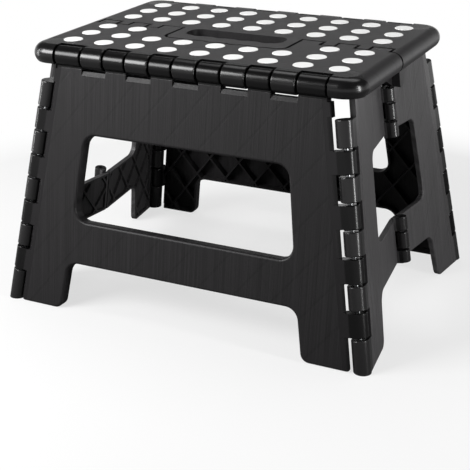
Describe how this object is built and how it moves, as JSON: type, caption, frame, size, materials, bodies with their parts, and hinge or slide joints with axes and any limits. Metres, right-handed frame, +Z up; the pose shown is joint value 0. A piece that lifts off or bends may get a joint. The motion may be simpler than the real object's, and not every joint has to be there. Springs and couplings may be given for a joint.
{
  "type": "folding step stool",
  "caption": "Folding step stool: dotted anti-slip top with a hand slot, two windowed leg panels and folding side panels, all hinged on pins.",
  "frame": {"origin": "on the floor under the middle of the top", "axes": "+X along the length, -Y to the front, +Z up"},
  "size_m": [0.3312, 0.2536, 0.2203],
  "materials": {
    "leg_plastic": "fine vertical lines and faint crossed diagonals, satin borders",
    "side_plastic": "fine vertical lines and faint crossed diagonals",
    "top_plastic": "satin moulded",
    "dot_rubber": "soft matt",
    "steel_pin": "bright drawn wire"
  },
  "bodies": {
    "front_leg": {"front_leg_panel": "leg_plastic", "front_right_corner_pin": "steel_pin", "front_left_corner_pin": "steel_pin"},
    "top_front": {"top_front": "top_plastic", "front_grip_dots": "dot_rubber", "front_long_pin": "steel_pin", "right_centre_pin": "steel_pin", "left_centre_pin": "steel_pin"},
    "top_rear": {"top_rear": "top_plastic", "rear_grip_dots": "dot_rubber", "rear_long_pin": "steel_pin"},
    "rear_leg": {"rear_leg_panel": "leg_plastic", "rear_right_corner_pin": "steel_pin", "rear_left_corner_pin": "steel_pin"},
    "right_side_front_half": {"right_side_front": "side_plastic"},
    "right_side_rear_half": {"right_side_rear": "side_plastic", "right_upper_fold_pin": "steel_pin", "right_lower_fold_pin": "steel_pin"},
    "left_side_front_half": {"left_side_front": "side_plastic"},
    "left_side_rear_half": {"left_side_rear": "side_plastic", "left_upper_fold_pin": "steel_pin", "left_lower_fold_pin": "steel_pin"}
  },
  "joints": [
    {"name": "centre_fold", "type": "hinge", "parent": "top_front", "child": "top_rear", "pos_m": [0, 0, 0.1954], "axis": [-1, 0, 0], "range_deg": [0, 180]},
    {"name": "front_leg_hinge", "type": "hinge", "parent": "top_front", "child": "front_leg", "pos_m": [0, -0.0951, 0.2113], "axis": [-1, 0, 0], "range_deg": [0, 82.3]},
    {"name": "rear_leg_hinge", "type": "hinge", "parent": "top_rear", "child": "rear_leg", "pos_m": [0, 0.0951, 0.2113], "axis": [1, 0, 0], "range_deg": [0, 82.3]},
    {"name": "front_right_corner_hinge", "type": "hinge", "parent": "front_leg", "child": "right_side_front_half", "pos_m": [0.1585, -0.11973, 0], "axis": [-0.1585, 0.1323, 0.9785], "range_deg": [0, 84.46]},
    {"name": "front_left_corner_hinge", "type": "hinge", "parent": "front_leg", "child": "left_side_front_half", "pos_m": [-0.1585, -0.11973, 0], "axis": [-0.1585, -0.1323, -0.9785], "range_deg": [0, 84.46]},
    {"name": "rear_right_corner_hinge", "type": "hinge", "parent": "rear_leg", "child": "right_side_rear_half", "pos_m": [0.1585, 0.11973, 0], "axis": [0.1585, 0.1323, -0.9785], "range_deg": [0, 84.46]},
    {"name": "rear_left_corner_hinge", "type": "hinge", "parent": "rear_leg", "child": "left_side_rear_half", "pos_m": [-0.1585, 0.11973, 0], "axis": [0.1585, -0.1323, 0.9785], "range_deg": [0, 84.46]}
  ],
  "couplings": [
    {"joint": "front_leg_hinge", "follows": "centre_fold", "ratio": 0.45722},
    {"joint": "rear_leg_hinge", "follows": "centre_fold", "ratio": 0.45722},
    {"joint": "front_right_corner_hinge", "follows": "centre_fold", "ratio": 0.4692},
    {"joint": "front_left_corner_hinge", "follows": "centre_fold", "ratio": 0.4692},
    {"joint": "rear_right_corner_hinge", "follows": "centre_fold", "ratio": 0.4692},
    {"joint": "rear_left_corner_hinge", "follows": "centre_fold", "ratio": 0.4692}
  ]
}
